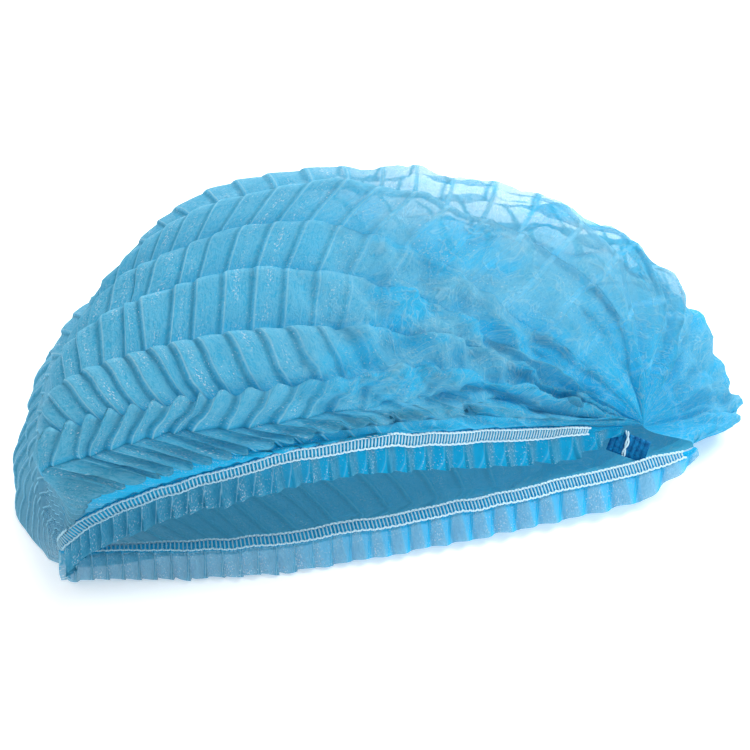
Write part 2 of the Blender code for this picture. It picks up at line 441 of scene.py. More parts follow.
        def row(index: Array) -> Array:
            """Returns the points of these folds."""
            index = np.clip(index, 0, last)
            return self.rows[index, column] * (1 - s) + self.rows[index, column + 1] * s

        p0, p1, p2, p3 = row(base - 1), row(base), row(base + 1), row(base + 2)
        m1, m2 = self.tension * (p2 - p0), self.tension * (p3 - p1)
        return (
            (2 * t**3 - 3 * t**2 + 1) * p1
            + (t**3 - 2 * t**2 + t) * m1
            + (-2 * t**3 + 3 * t**2) * p2
            + (t**3 - t**2) * m2
        )


def grid_faces(rows: int, columns: int, flip: bool = False) -> Array:
    """Returns the quads of a grid of points.

    Args:
        rows: Rows of points.
        columns: Points in a row.
        flip: Whether to turn every face round.

    Returns:
        Four indices for each face.
    """
    index = np.arange(rows * columns).reshape(rows, columns)
    quads = np.stack([index[:-1, :-1], index[:-1, 1:], index[1:, 1:], index[1:, :-1]], axis=-1)
    quads = quads.reshape(-1, 4)
    return quads[:, ::-1] if flip else quads


def make_mesh(name: str, points: Array, faces: Array, marks: dict[str, Array],
              uv: Array | None = None) -> bpy.types.Object:
    """Makes a smooth mesh object in the shared frame.

    Args:
        name: The piece's name.
        points: One row for each point, before the shift to the shared frame.
        faces: Indices of each face.
        marks: Values for each point that the materials read, by name.
        uv: Place of each point on the flat sheet, in metres.

    Returns:
        The new object, linked to the scene.
    """
    points = points.reshape(-1, 3) + ORIGIN_SHIFT
    points[:, 2] = np.maximum(points[:, 2], FLOOR_CLEARANCE)
    mesh = bpy.data.meshes.new(name)
    mesh.from_pydata(points.tolist(), [], faces.tolist())
    mesh.update()
    for label, values in marks.items():
        attribute = mesh.attributes.new(label, "FLOAT", "POINT")
        attribute.data.foreach_set("value", np.ascontiguousarray(values, np.float32).ravel())
    if uv is not None:
        corner = np.empty(len(mesh.loops), np.int32)
        mesh.loops.foreach_get("vertex_index", corner)
        layer = mesh.uv_layers.new(name="sheet")
        flat = np.asarray(uv, np.float32).reshape(-1, 2)[corner]
        layer.data.foreach_set("uv", flat.ravel())
    mesh.polygons.foreach_set("use_smooth", np.ones(len(mesh.polygons), bool))
    obj = bpy.data.objects.new(name, mesh)
    bpy.context.scene.collection.objects.link(obj)
    return obj


@dataclass(frozen=True)
class Pleats:
    """How one run of knife pleats is shared out along a length.

    crowding and warp are how much closer together they lie at the left, lean how far each
    back slope leans towards the next pleat, and uneven how much their strengths differ.
    """

    count: int
    crowding: float
    seed: Seed
    steps: tuple[float, ...] = (0.0, 0.08, 0.18, 0.30, 0.44, 0.58, 0.72, 0.84, 0.93, 1.0)
    lean: float = 0.07
    warp: float = 0.0
    uneven: float = 0.28

    def spots(self) -> tuple[Array, Array, Array]:
        """Returns the place, the pleat and the step of every column.

        Returns:
            Place along in pleats, which pleat it is on, and how far across that pleat.
        """
        pleat = np.repeat(np.arange(self.count), len(self.steps)).astype(float)
        step = np.tile(np.array(self.steps), self.count)
        place = pleat + step * (1.0 - self.lean) + self.lean * 0.5
        return place, pleat, step

    def shares(self, place: Array) -> Array:
        """Returns shares of the length for places in pleats, closer together at the left."""
        even = np.clip(place / self.count, 0.0, 1.0)
        even = even * (1.0 - self.warp) + even**2 * self.warp
        k = self.crowding
        return 1.0 + ((1 - k) - np.sqrt((1 - k) ** 2 + 4 * k * (1.0 - even))) / (2 * k)

    def strength(self) -> Array:
        """Returns how strong each pleat is, about 1."""
        noise = np.random.default_rng(self.seed).uniform(-1.0, 1.0, self.count)
        return 1.0 + self.uneven * noise


@dataclass
class Layout:
    """Where every point of the crown lies: rows across the folds, columns along them."""

    band: Array
    share: Array
    step: Array
    place: Array
    strength: Array
    folds: Array
    shares: Array


@dataclass
class CrownSheet:
    """The pleated crown between the two hem bands.

    Over crumple_run of the length from crumple_from on, the crumpled part takes over from
    the pleats. The petals and the creases grow from the right gather, over petal_start and
    crease_start, and the petals fade again over petal_reach. Below pressed_height the floor
    presses every fold flat.
    """

    form: CapForm
    pleats: Pleats = Pleats(34, 0.34, Seed.CROWN_PLEATS, warp=0.42)
    steps: tuple[float, ...] = (0.0, 0.05, 0.13, 0.26, 0.42, 0.58, 0.72, 0.84, 0.93, 1.0)
    wander: float = 0.34
    corner_rise: float = 0.0018
    petal_reach: float = 0.075
    petal_start: float = 0.040
    crease_start: float = 0.030
    vivid_reach: float = 0.046
    pressed_height: float = 0.0060
    fold_spacing: float = 0.0145
    crumple_from: float = 0.46
    crumple_run: float = 0.24
    brow_fold: float = 8.6
    brow_width: float = 1.9
    table: Array = field(default_factory=lambda: np.array(BANDS))

    def column(self, name: str, band: Array) -> Array:
        """Returns one value of the table for each row of points."""
        return self.table[:, Band._fields.index(name)][band]

    def layout(self) -> Layout:
        """Lays out the points on the folds.

        Returns:
            The layout.
        """
        band = np.repeat(np.arange(len(BANDS)), len(self.steps))[:, None]
        share = np.tile(np.array(self.steps), len(BANDS))[:, None]
        begun = np.concatenate([[0.0], np.cumsum(self.table[:, 0])])[:-1]
        slant = begun[band] + self.column("slant", band) * share
        place, pleat, step = (values[None, :] for values in self.pleats.spots())
        middle = np.sin(np.pi * step)
        lobe, over = self.column("lobe", band), self.column("over", band)
        along = place / self.pleats.count
        right = ramp(along, 0.45, 0.75)
        curl = ramp(share, 0.50, 0.90) * (1.0 - 0.45 * (share > 0.99))
        round_edge = np.where(lobe > 0.5, 0.1 + 1.3 * middle, 1.0 + lobe * (middle - 0.5))
        reach = over * curl * np.where(band == 0, 1.0, (1 - 0.6 * right) * round_edge)
        under = self.column("under", band)
        hanging = (HANG.of(along) - 0.16 * middle) * (1 - share)
        gap = ramp(share, 0.3, 0.0) * -0.06 * (under > 0)
        sink = np.where(under < 0, hanging, gap) * (band > 0)
        ends = np.clip(0.5 - 0.5 * np.cos(2 * np.pi * along), 0.0, 1.0)
        noise = Lattice(Seed.WANDER).at(place * 0.85, (band + share) * 0.6)
        uneven = self.wander * noise * (1 - 0.5 * right)
        shares = self.pleats.shares(place + slant * ends**0.6 + uneven * ends)
        shares[:, 0], shares[:, -1] = 0.0, 1.0
        folds = band + share * np.where(over > 0, 1.0, 0.97) + reach + sink
        inner = (folds > 1.6) & (folds < len(FOLDS) - 1.6)
        sway = Lattice(Seed.SWAY).at(shares * 9.0, folds * 0.9) * (0.12 + 0.15 * right)
        folds = folds + sway * inner
        strength = self.pleats.strength()[pleat.astype(int)]
        return Layout(band, share, step, place, strength, folds, shares)

    def normals(self, at: Layout) -> Array:
        """Returns the outward direction of the smooth crown at every point."""
        du, dv = 1e-3, 1e-2
        surface = self.form.surface
        across = surface(at.folds, at.shares + du) - surface(at.folds, at.shares - du)
        over = surface(at.folds + dv, at.shares) - surface(at.folds - dv, at.shares)
        return unit(np.cross(across, over))

    def phase(self, wave: Wave, number: int, at: Layout) -> Array:
        """Returns how many creases of one run lie before every point.

        Args:
            wave: The run of creases.
            number: Which run it is, so that each one wanders its own way.
            at: The layout.

        Returns:
            The count, with a crease at every whole number.
        """
        noise = Lattice(Seed.CREASE + number).layers(at.shares * 7.0, at.folds * 0.8, 2)
        return wave.start + at.shares * wave.along + at.folds * wave.across + noise * wave.drift

    def lift(self, at: Layout, base: Array, near: Array, phases: list[Array]) -> Array:
        """Returns how far every point stands off the smooth crown.

        Args:
            at: The layout.
            base: The points on the smooth crown.
            near: Every point's distance from the right gather.
            phases: The petals' run of creases, then the others.

        Returns:
            The height of every point.
        """
        fade = np.clip(np.sin(np.pi * at.shares), 0.0, 1.0) ** 0.7
        right = self.crumpled(at)
        low = ramp(at.folds, 3.2, 2.4)
        kept = 1 - right * (0.80 - 0.35 * low)
        corner = self.corner_rise * (at.folds < 1.3) * (1 - ramp(at.shares, 0.0, 0.16))
        rise = (self.column("rise", at.band) + corner) * at.strength
        pleat = rise * KNIFE.of(at.step) * kept
        roll = self.column("roll", at.band) * ramp(at.share, 0.35, 0.85)
        roll = roll * (1.0 - 0.4 * (at.share > 0.99))
        under = self.column("under", at.band) * ramp(at.share, 0.40, 0.0)
        puff = self.column("puff", at.band) * np.sin(np.pi * at.share)
        patch = 1.0 + 0.5 * Lattice(Seed.PUFF).at(at.shares * 7.0, at.folds * 0.8)
        hem = ramp(np.minimum(at.folds - 0.9, len(FOLDS) - 1 - at.folds), 0.0, 0.7)
        ridge = [0.5 - 2 * np.abs(phase % 1.0 - 0.5) for phase in phases]
        petal = bell(near, 0.0, self.petal_reach) * np.minimum(near / self.petal_start, 1.0)
        petal = petal * (1 - 0.7 * ramp(at.folds, 9.5, 11.5))
        lumps = -PETALS.rise * ridge[0] * petal
        rough = sum(-wave.rise * edge for wave, edge in zip(CREASES, ridge[1:]))
        crumple = rough * (0.12 + 0.88 * right) * np.minimum(near / self.crease_start, 1.0)
        crumple = crumple * (1 - 0.6 * self.brow(at))
        folded = (pleat + (roll - under + puff) * patch * (1 - 0.35 * right)) * fade
        folded = folded * np.where(at.folds < 2, 1.0, 0.25 + 0.75 * hem)
        standing = np.clip(base[:, :, 2] / self.pressed_height, 0.0, 1.0)
        return (folded + (lumps + crumple * fade) * hem) * standing

    def brow(self, at: Layout) -> Array:
        """Returns how near every point is to the fold along the top of the cap."""
        return bell(at.folds, self.brow_fold, self.brow_width)

    def crumpled(self, at: Layout) -> Array:
        """Returns how far the crumpled right part has taken over from the pleats."""
        edge = self.crumple_from - 0.05 * Lattice(Seed.CRUMPLE_EDGE).at(at.folds * 0.7, 0.0)
        return ramp(at.shares, edge, edge + self.crumple_run)

    def marks(self, at: Layout, near: Array, phases: list[Array]) -> dict[str, Array]:
        """Returns the values that the sheet's material reads.

        Args:
            at: The layout.
            near: Every point's distance from the right gather.
            phases: The petals' run of creases, then the others.

        Returns:
            One value for every point, by name.
        """
        right = self.crumpled(at)
        rolled = np.abs(self.column("roll", at.band)) > 0.0015
        # Painted highlight along the raised edge of each pleat, weaker over the crumpled right
        # part
        crest_highlight = (1 - 0.75 * right * (1 - 0.15 * self.brow(at))) * at.strength * 0.8
        streak = bell(at.step, 0.48, 0.12) * (at.strength > 0.93) * (1 - right)
        brush = BRUSHED.of(at.share) * rolled * (1 - 0.5 * right)
        frost = Lattice(Seed.FROST).layers(at.shares * 12, at.folds * 1.2, 3)
        brush = np.maximum(brush, 0.7 * right * ramp(frost, -0.25, 0.35))
        # Painted shade: a thin line just before each next pleat, and a strip along the fold where
        # each rolled band is tucked
        painted_shade_and_dark_grain = bell(at.step, 0.97, 0.09) * (1 - right) * 0.8
        tucked = 0.6 * ramp(at.share, 0.16, 0.0) * rolled * (1 - 0.8 * right)
        painted_shade_and_dark_grain = np.maximum(painted_shade_and_dark_grain, tucked)
        recess = ramp(at.folds, 1.5, 1.3) * (at.band == 0) * ramp(at.shares, 0.06, 0.18)
        close = bell(near, 0.0, self.vivid_reach)
        patches = ramp(Lattice(Seed.VIVID).layers(at.shares * 16, at.folds * 1.7, 3), -0.12, 0.28)
        valley = 0.55 * ramp(at.share, 0.26, 0.0) * rolled
        puffs = 0.90 * right * ramp(at.folds, 3.3, 2.3) * (0.4 + 0.6 * patches)
        deep = close
        for other in (0.9 * recess, 0.76 * right * patches, valley, puffs):
            deep = np.maximum(deep, other)
        edge = self.brow(at) * (0.25 + 0.75 * right)
        ends = bell(at.shares, 0.0, 0.10) + 0.6 * bell(at.shares, 1.0, 0.10)
        clear = np.clip(edge + ends, 0.0, 1.0) * (1 - close)
        # Painted shade: greyer and deeper towards the left gather, the side turned away from the
        # light
        grey = ramp(at.shares, 0.42, 0.0)
        values = {"crest_highlight": crest_highlight, "streak": streak, "brush": brush, "deep": deep, "clear": clear,
                  "grey": grey, "double": 0.0, "lines": 0.10 + 0.90 * right,
                  "pleat": at.place - LINE_OFFSET, "painted_shade_and_dark_grain": painted_shade_and_dark_grain, "hollow": 1.0}
        values |= {f"crease_{k}": phase for k, phase in enumerate(phases)}
        return {name: np.broadcast_to(value, at.shares.shape) for name, value in values.items()}

    def build(self) -> bpy.types.Object:
        """Returns:
            The crown's object.
        """
        at = self.layout()
        base = self.form.surface(at.folds, at.shares)
        near = np.linalg.norm(base - self.form.gather(1), axis=2)
        phases = [self.phase(wave, k, at) for k, wave in enumerate((PETALS, *CREASES))]
        lift = self.lift(at, base, near, phases)
        points = base + self.normals(at) * lift[:, :, None]
        length = SEAM_LENGTH * self.pleats.shares(at.place + 0 * at.shares)
        uv = np.stack([length, at.folds * self.fold_spacing], axis=-1)
        faces = grid_faces(*points.shape[:2])
        obj = make_mesh("crown_sheet", points, faces, self.marks(at, near, phases), uv)
        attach(obj, "root")
        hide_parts("crown")
        return obj


@dataclass
class HemStrip:
    """One hem: the strip over the elastic and the frill beyond it, one piece of sheet.

    full and end are the shares of the hem's length where the frill starts to shorten and
    where the hem stops, clear is how see-through the frill is and shaded how much painted
    shade the frill carries.
    """

    form: CapForm
    side: Side
    end: float
    full: float
    clear: float
    shaded: float
    pleats: Pleats = Pleats(34, 0.42, Seed.FRILL_PLEATS)
    frill_length: float = 0.0084
    frill_rise: float = 0.0036
    frill_flare: float = 0.0010
    shortest: float = 0.25
    soft_shift: float = 0.1
    band_swell: float = 0.0009
    row_spacing: float = 0.0009
    pucker: float = 0.00022
    puckers: int = 150
    ways: tuple[float, ...] = (1.0, 0.8, 0.45, 0.0, -0.45, -0.8)
    reaches: tuple[float, ...] = (0.0, 0.06, 0.16, 0.3, 0.45, 0.6, 0.75, 0.88, 1.0)

    def band_rows(self, seam: dict[str, Array], shares: Array) -> list[Array]:
        """Returns the rows of points over the elastic.

        Args:
            seam: The hem's seam at every column.
            shares: Each column's share of the hem's length.

        Returns:
            One array of points for each row.
        """
        rows = []
        face = 1.0 if self.side is Side.FRONT else -1.0
        for way in self.ways:
            swell = self.band_swell * math.sqrt(max(0.0, 1 - way**2))
            ripple = self.pucker * np.sin(2 * np.pi * shares * self.puckers) * (abs(way) < 0.9)
            lift = seam["normal"] * (swell + ripple)[:, None] * face
            rows.append(seam["middle"] + seam["inward"] * seam["half"] * way + lift)
        return rows

    def frill_rows(self, seam: dict[str, Array], shares: Array, form: Array) -> list[Array]:
        """Returns the rows of points of the frill.

        Args:
            seam: The hem's seam at every column.
            shares: Each column's share of the hem's length.
            form: Each column's height on its pleat, about -0.5 to 0.5.

        Returns:
            One array of points for each row.
        """
        fade = np.clip((shares - self.full) / (self.end - self.full), 0.0, 1.0)
        uneven = 1.0 + 0.06 * Lattice(Seed.FRILL_LENGTH).at(shares * 30.0, shares * 0.0)
        length = (self.frill_length * (1 - fade * (1 - self.shortest)) * uneven)[:, None]
        start = seam["middle"] - seam["inward"] * seam["half"]
        facing = np.cross(unit(np.gradient(start, axis=0)), seam["down"])
        facing *= np.sign(np.sum(facing * seam["normal"], axis=1, keepdims=True))
        rows = []
        for reach in self.reaches:
            side = unit(seam["normal"] * (1 - reach) + facing * reach)
            rise = self.frill_rise * form * (0.25 + 0.75 * reach**0.7)
            noise = Lattice(Seed.FRILL_FLARE).at(shares * 16.0, shares * 0.0 + reach)
            flare = self.frill_flare * reach**2 * noise
            rows.append(start + seam["down"] * length * reach + side * (rise + flare)[:, None])
        return rows

    def marks(self, place: Array, step: Array, form: Array, broad: Array) -> dict[str, Array]:
        """Returns the values that the sheet's material reads.

        Args:
            place: Each column's place along the hem, in pleats.
            step: How far across its pleat each column is.
            form: Each column's height on its pleat.
            broad: How far the pleats have become soft folds there.

        Returns:
            One value for every point, by name.
        """
        band = np.array([1.0] * len(self.ways) + [0.0] * len(self.reaches))[:, None]
        reach = np.array([0.0] * len(self.ways) + list(self.reaches))[:, None]
        frill = 1 - band
        turned = np.sin(2 * np.pi * (step - self.soft_shift)) * 0.5
        lean = np.where(broad > 0.5, turned, form)
        streak, valley = ramp(lean, -0.12, 0.13), ramp(lean, 0.12, -0.13)
        # Painted shade on the back slope of each narrow pleat and in the groove of each broad fold
        back_slope_shade = 0.75 * ramp(step, 0.35, 0.85) * (1 - broad)
        groove_shade = 0.9 * ramp(step, 0.22, 0.07) * broad
        values = {
            # Painted highlight on the raised edges of the frill's pleats, weaker on the broad
            # folds
            "crest_highlight": (1 - 0.7 * broad) * frill,
            "streak": 0.6 * streak * frill,
            "brush": np.where(reach > 0.95, 0.6, 0.0) + 0.10 * band,
            "deep": np.maximum(0.15 + 0.85 * valley * broad, 0.8 * band),
            "double": band,
            "grey": 0.25 + 0.75 * (streak * broad + 1 - broad) * frill,
            "clear": self.clear * frill,
            "pleat": place - LINE_OFFSET + 0.3 * reach**1.4,
            # Painted shade on the frills, most on the front one and towards the free edge; the
            # elastic band is deeper in tone too
            "painted_shade_and_dark_grain": 0.55 * band + (self.shaded + back_slope_shade + groove_shade) * frill * (1 + reach) / 2,
        }
        shape = (len(reach), len(place))
        return {name: np.broadcast_to(value, shape) for name, value in values.items()}

    def build(self) -> bpy.types.Object:
        """Returns:
            The hem's object.
        """
        place, pleat, step = self.pleats.spots()
        shares = self.pleats.shares(place)
        shares[0], shares[-1] = 0.0, 1.0
        seam = self.form.hem(self.side, shares)
        strength = self.pleats.strength()[pleat.astype(int)]
        broad = ramp(shares, 0.25, 0.50)
        soft = np.cos(2 * np.pi * (step - self.soft_shift)) * 0.5
        form = ((0.55 - step) * (1 - broad) + soft * broad) * strength
        rows = self.band_rows(seam, shares) + self.frill_rows(seam, shares, form)
        kept = shares <= self.end
        points = np.stack(rows)[:, kept]
        across = np.arange(len(rows))[:, None] * self.row_spacing
        uv = np.stack(np.broadcast_arrays(shares[kept] * SEAM_LENGTH, across), axis=-1)
        faces = grid_faces(*points.shape[:2], flip=self.side is Side.FRONT)
        marks = self.marks(place[kept], step[kept], form[kept], broad[kept])
        obj = make_mesh(f"{self.side.value}_hem_and_frill", points, faces, marks, uv)
        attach(obj, "root")
        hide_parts(f"{self.side.value}_elastic_band", f"{self.side.value}_frill")
        return obj


@dataclass
class LadderStitch:
    """Two scalloped rows of thread with rungs between them, on both faces of one hem.

    first and last are the shares of the hem's length where it begins and ends. thickness is
    that of the inner row, of the outer row's stitches down and up, and of the rungs, in
    shares of the thread's.
    """

    form: CapForm
    side: Side
    first: float
    last: float
    rungs: int = 168
    line_gap: float = 0.0036
    thread: float = 0.00030
    stand_off: float = 0.0011
    scallop: float = 0.00020
    dip: float = 0.0005
    crowding: float = 0.15
    start_tone: float = 0.38
    rung_tone: float = 0.62
    overlap: float = 1.12
    thickness: tuple[float, float, float, float] = (1.35, 1.1, 1.1, 0.95)

    def stitch(self) -> tuple[Array, Array]:
        """Makes one stitch and reads its mesh.

        Returns:
            Its points, along X from -0.5 to 0.5 with radius 1, and its triangles.
        """
        bpy.ops.object.select_all(action="DESELECT")
        bpy.ops.mesh.primitive_uv_sphere_add(segments=6, ring_count=5, radius=1.0)
        obj = bpy.context.active_object
        bpy.ops.object.mode_set(mode="EDIT")
        bpy.ops.mesh.select_all(action="SELECT")
        bpy.ops.transform.rotate(value=math.pi / 2, orient_axis="Y", center_override=(0, 0, 0))
        bpy.ops.transform.resize(value=(0.5, 1.0, 1.0), center_override=(0, 0, 0))
        bpy.ops.mesh.quads_convert_to_tris()
        bpy.ops.object.mode_set(mode="OBJECT")
        points = np.array([vertex.co[:] for vertex in obj.data.vertices])
        faces = [polygon.vertices[:] for polygon in obj.data.polygons]
        bpy.data.objects.remove(obj, do_unlink=True)
        # Blender's order of the triangles changes from run to run, so they are sorted
        faces = np.array([np.roll(face, -int(np.argmin(face))) for face in faces])
        return points, faces[np.lexsort(faces.T[::-1])]

    def build(self) -> bpy.types.Object:
        """Builds every stitch of the hem as one piece.

        Returns:
            The stitching's object.
        """
        shape, faces = self.stitch()
        even = np.linspace(0.0, 1.0, self.rungs + 1)
        spread = even * (1.0 + self.crowding) - self.crowding * even**2
        seam = self.form.hem(self.side, self.first + (self.last - self.first) * spread)
        inward = seam["inward"]
        width = np.minimum(self.line_gap, 1.7 * seam["half"])
        scallop = inward * (self.scallop * (-1.0) ** np.arange(len(even)))[:, None]
        # The thread is dimmer over the first half of the hem, towards the left gather
        light = self.start_tone + (1 - self.start_tone) * ramp(even[1:], 0.05, 0.50)
        starts, ends, radii, tones = [], [], [], []
        for face in (1.0, -1.0):
            lift = seam["normal"] * self.stand_off * face
            upper = seam["middle"] + inward * width / 2 + lift + scallop
            lower = seam["middle"] - inward * width / 2 + lift - scallop
            half_way = (lower[1:] + lower[:-1]) / 2 - inward[1:] * self.dip
            starts += [upper[:-1], lower[:-1], half_way, lower[:-1]]
            ends += [upper[1:], half_way, lower[1:], upper[:-1]]
            radii += [np.full(self.rungs, self.thread * k) for k in self.thickness]
            tones += [light, light, light, light * self.rung_tone]
        start, end = np.concatenate(starts), np.concatenate(ends)
        radius = np.concatenate(radii)
        along = end - start
        length = np.linalg.norm(along, axis=1)
        x = unit(along)
        y = unit(np.cross(x, np.array([0.13, 0.31, 0.94])))
        z = np.cross(x, y)
        size = np.stack([length * self.overlap, radius, radius], axis=1)
        local = shape[None] * size[:, None, :]
        points = ((start + end) / 2)[:, None, :] + (
            local[:, :, :1] * x[:, None] + local[:, :, 1:2] * y[:, None]
            + local[:, :, 2:] * z[:, None])
        every = (faces[None] + np.arange(len(start))[:, None, None] * len(shape)).reshape(-1, 3)
        tone = np.repeat(np.concatenate(tones), len(shape))
        obj = make_mesh(f"{self.side.value}_stitching", points, every, {"tone": tone})
        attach(obj, "root")
        return obj


def tube(path: Array, radius: float, sides: int = 6) -> tuple[Array, Array]:
    """Makes a closed tube along a path.

    Args:
        path: The points that it follows.
        radius: Its radius in metres.
        sides: How many sides it has.

    Returns:
        Its points and its triangles.
    """
    tangent = unit(np.gradient(path, axis=0))
    first = unit(np.cross(tangent, np.array([0.21, 0.37, 0.90])))
    second = np.cross(tangent, first)
    turn = np.linspace(0.0, 2 * np.pi, sides, endpoint=False)[None, :, None]
    taper = np.ones(len(path))
    taper[[0, -1]] = 0.5
    ring = first[:, None] * np.cos(turn) + second[:, None] * np.sin(turn)
    points = path[:, None] + ring * radius * taper[:, None, None]
    faces = []
    for k in range(len(path) - 1):
        for j in range(sides):
            a, b = k * sides + j, k * sides + (j + 1) % sides
            faces += [(a, b, b + sides), (a, b + sides, a + sides)]
    last = (len(path) - 1) * sides
    for j in range(1, sides - 1):
        faces += [(0, j + 1, j), (last, last + j, last + j + 1)]
    return points.reshape(-1, 3), np.array(faces)


@dataclass
class EndTab:
    """The right end of the sheet, pressed into a ribbed tab, and the thread end on it."""

    center: tuple[float, float, float] = (0.0880, -0.0022, 0.0172)
    along: tuple[float, float, float] = (0.804, -0.503, -0.316)
    facing: tuple[float, float, float] = (-0.327, -0.782, 0.530)
    length: float = 0.0126
    width: float = 0.0072
    thickness: float = 0.0016
    ribs: int = 7
    rib_rise: float = 0.0005
    rib_slope: float = 0.24
    rounding: float = 0.00018
    thread: float = 0.00032
    thread_slant: float = 0.0022
    thread_sway: float = 0.0005
    thread_twist: float = 7.0

    def axes(self) -> Array:
        """Returns the tab's three directions as rows: its length, its ribs and its face."""
        z = np.array(self.facing) / np.linalg.norm(self.facing)
        x = np.array(self.along) - z * np.dot(self.along, z)
        x /= np.linalg.norm(x)
        return np.stack([x, np.cross(z, x), z])

    def slab(self) -> bpy.types.Object:
        """Models the ribbed slab and puts it in its place.

        Returns:
            The tab's object.
        """
        bpy.ops.object.select_all(action="DESELECT")
        bpy.ops.mesh.primitive_cube_add(size=1.0, location=(0.0, 0.0, 0.0))
        obj = bpy.context.active_object
        obj.name = obj.data.name = "ribbed_tab"
        bpy.ops.object.mode_set(mode="EDIT")
        bpy.ops.mesh.select_all(action="SELECT")
        bpy.ops.transform.resize(value=(self.length, self.width, self.thickness))
        for k in range(1, self.ribs):
            bpy.ops.mesh.select_all(action="SELECT")
            x = self.length * (k / self.ribs - 0.5)
            bpy.ops.mesh.bisect(plane_co=(x, 0.0, 0.0), plane_no=(1.0, 0.0, 0.0))
        for way in (1.0, -1.0):
            self.select_faces(obj, way)
            slope = self.length / self.ribs * self.rib_slope
            bpy.ops.mesh.inset(thickness=slope, use_individual=True)
            bpy.ops.transform.translate(value=(0.0, 0.0, way * self.rib_rise))
        bpy.ops.object.mode_set(mode="OBJECT")
        bevel = obj.modifiers.new("edges", "BEVEL")
        bevel.width, bevel.segments = self.rounding, 2
        bpy.ops.object.modifier_apply(modifier=bevel.name)
        axes = self.axes()
        turn = Matrix([list(row) for row in axes]).transposed().to_4x4()
        place = Matrix.Translation(Vector(self.center) + Vector(ORIGIN_SHIFT.tolist()))
        obj.data.transform(place @ turn)
        bpy.ops.object.shade_smooth_by_angle(angle=math.radians(35))
        return obj

    def select_faces(self, obj: bpy.types.Object, way: float) -> None:
        """Selects the faces of the slab that look up, or down.

        Args:
            obj: The slab, in edit mode.
            way: 1 for up and -1 for down.
        """
        shape = bmesh.from_edit_mesh(obj.data)
        for face in shape.faces:
            face.select_set(face.normal.z * way > 0.9)
        bmesh.update_edit_mesh(obj.data)

    def build(self) -> list[bpy.types.Object]:
        """Builds the tab and its thread end.

        Returns:
            Both objects.
        """
        obj = self.slab()
        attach(obj, "root")
        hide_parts("right_end_tab")
        x, y, z = self.axes()
        share = np.linspace(0.0, 1.0, 26)[:, None]
        line = np.array(self.center) + z * (self.thickness / 2 + self.rib_rise + self.thread)
        line = line + x * self.thread_slant * (share - 1) + y * self.width * (0.60 - 1.12 * share)
        strands = []
        for start in (0.0, math.pi):
            turn = start + share * self.thread_twist
            twist = (x * np.cos(turn) + z * (0.5 + 0.5 * np.sin(turn))) * self.thread * 1.2
            sway = x * self.thread_sway * np.sin(share * 5.0)
            strands.append(tube(line + twist + sway, self.thread))
        points = np.concatenate([strand[0] for strand in strands])
        faces = np.concatenate([strands[0][1], strands[1][1] + len(strands[0][0])])
        tail = make_mesh("tab_thread", points, faces, {"tone": np.full(len(points), 0.8)})
        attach(tail, "root")
        return [obj, tail]


@dataclass
class Nodes:
    """A node tree that nodes are added to, and the shared groups that it can use."""

    tree: bpy.types.NodeTree
    groups: dict[str, bpy.types.NodeTree] = field(default_factory=dict)

    def fill(self, node: bpy.types.Node, values: dict[int | str, object]) -> None:
        """Fills inputs of a node.

        Args:
            node: The node.
            values: For each input, a socket to link or a value to set.
        """
        for name, value in values.items():
            if isinstance(value, bpy.types.NodeSocket):
                self.tree.links.new(value, node.inputs[name])
            else:
                node.inputs[name].default_value = value

    def add(self, kind: str, values: dict[int | str, object],
            **settings: object) -> bpy.types.Node:
        """Adds a node and fills its inputs.

        Args:
            kind: The node's type without ShaderNode in front.
            values: For each input, a socket to link or a value to set.
            **settings: Attributes of the node.

        Returns:
            The new node.
        """
        node = self.tree.nodes.new("ShaderNode" + kind)
        for name, value in settings.items():
            setattr(node, name, value)
        self.fill(node, values)
        return node

    def math(self, operation: str, *values: object, clamp: bool = False) -> bpy.types.NodeSocket:
        """Returns the result of some arithmetic.

        Args:
            operation: What is done with the values.
            *values: A socket or a number for each of them.
            clamp: Whether the result is kept from 0 to 1.

        Returns:
            The result.
        """
        node = self.add("Math", dict(enumerate(values)), operation=operation, use_clamp=clamp)
        return node.outputs[0]

    def times(self, first: object, second: object) -> bpy.types.NodeSocket:
        """Returns the product of two values."""
        return self.math("MULTIPLY", first, second)

    def scaled(self, source: object, factor: float, offset: object = 0.0
               ) -> bpy.types.NodeSocket:
        """Returns the source times the factor plus the offset, kept from 0 to 1."""
        return self.math("MULTIPLY_ADD", source, factor, offset, clamp=True)

    def spread(self, source: object, low: float, high: float) -> bpy.types.NodeSocket:
        """Returns the source with the range from low to high spread out from 0 to 1."""
        return self.add("MapRange", {0: source, 1: low, 2: high}).outputs[0]

    def noise(self, place: object, scale: object, detail: float,
              **values: float) -> bpy.types.NodeSocket:
        """Returns noise.

        Args:
            place: Where it is looked up.
            scale: How fine it is.
            detail: How many finer layers it has.
            **values: Other inputs of the texture.

        Returns:
            The noise, from 0 to 1.
        """
        inputs = {"Vector": place, "Scale": scale, "Detail": detail} | values
        return self.add("TexNoise", inputs).outputs["Fac"]

    def blend(self, share: object, first: object, second: Color) -> bpy.types.NodeSocket:
        """Returns the mix of two colours, all of the second where the share is 1."""
        mix = self.add("Mix", {0: share, 6: first, 7: (*second, 1.0)}, data_type="RGBA")
        return mix.outputs[2]

    def both(self, share: object, first: bpy.types.Node, second: bpy.types.Node
             ) -> bpy.types.Node:
        """Returns the mix of two shaders, all of the second where the share is 1."""
        return self.add("MixShader", {0: share, 1: first.outputs[0], 2: second.outputs[0]})

    def mark(self, name: str) -> bpy.types.NodeSocket:
        """Returns one of the values that the mesh carries."""
        return self.add("Attribute", {}, attribute_name=name).outputs["Fac"]

    def use(self, name: str, **values: object) -> bpy.types.NodeSocket:
        """Returns the value of a shared group with these inputs."""
        return self.add("Group", values, node_tree=self.groups[name]).outputs["Value"]


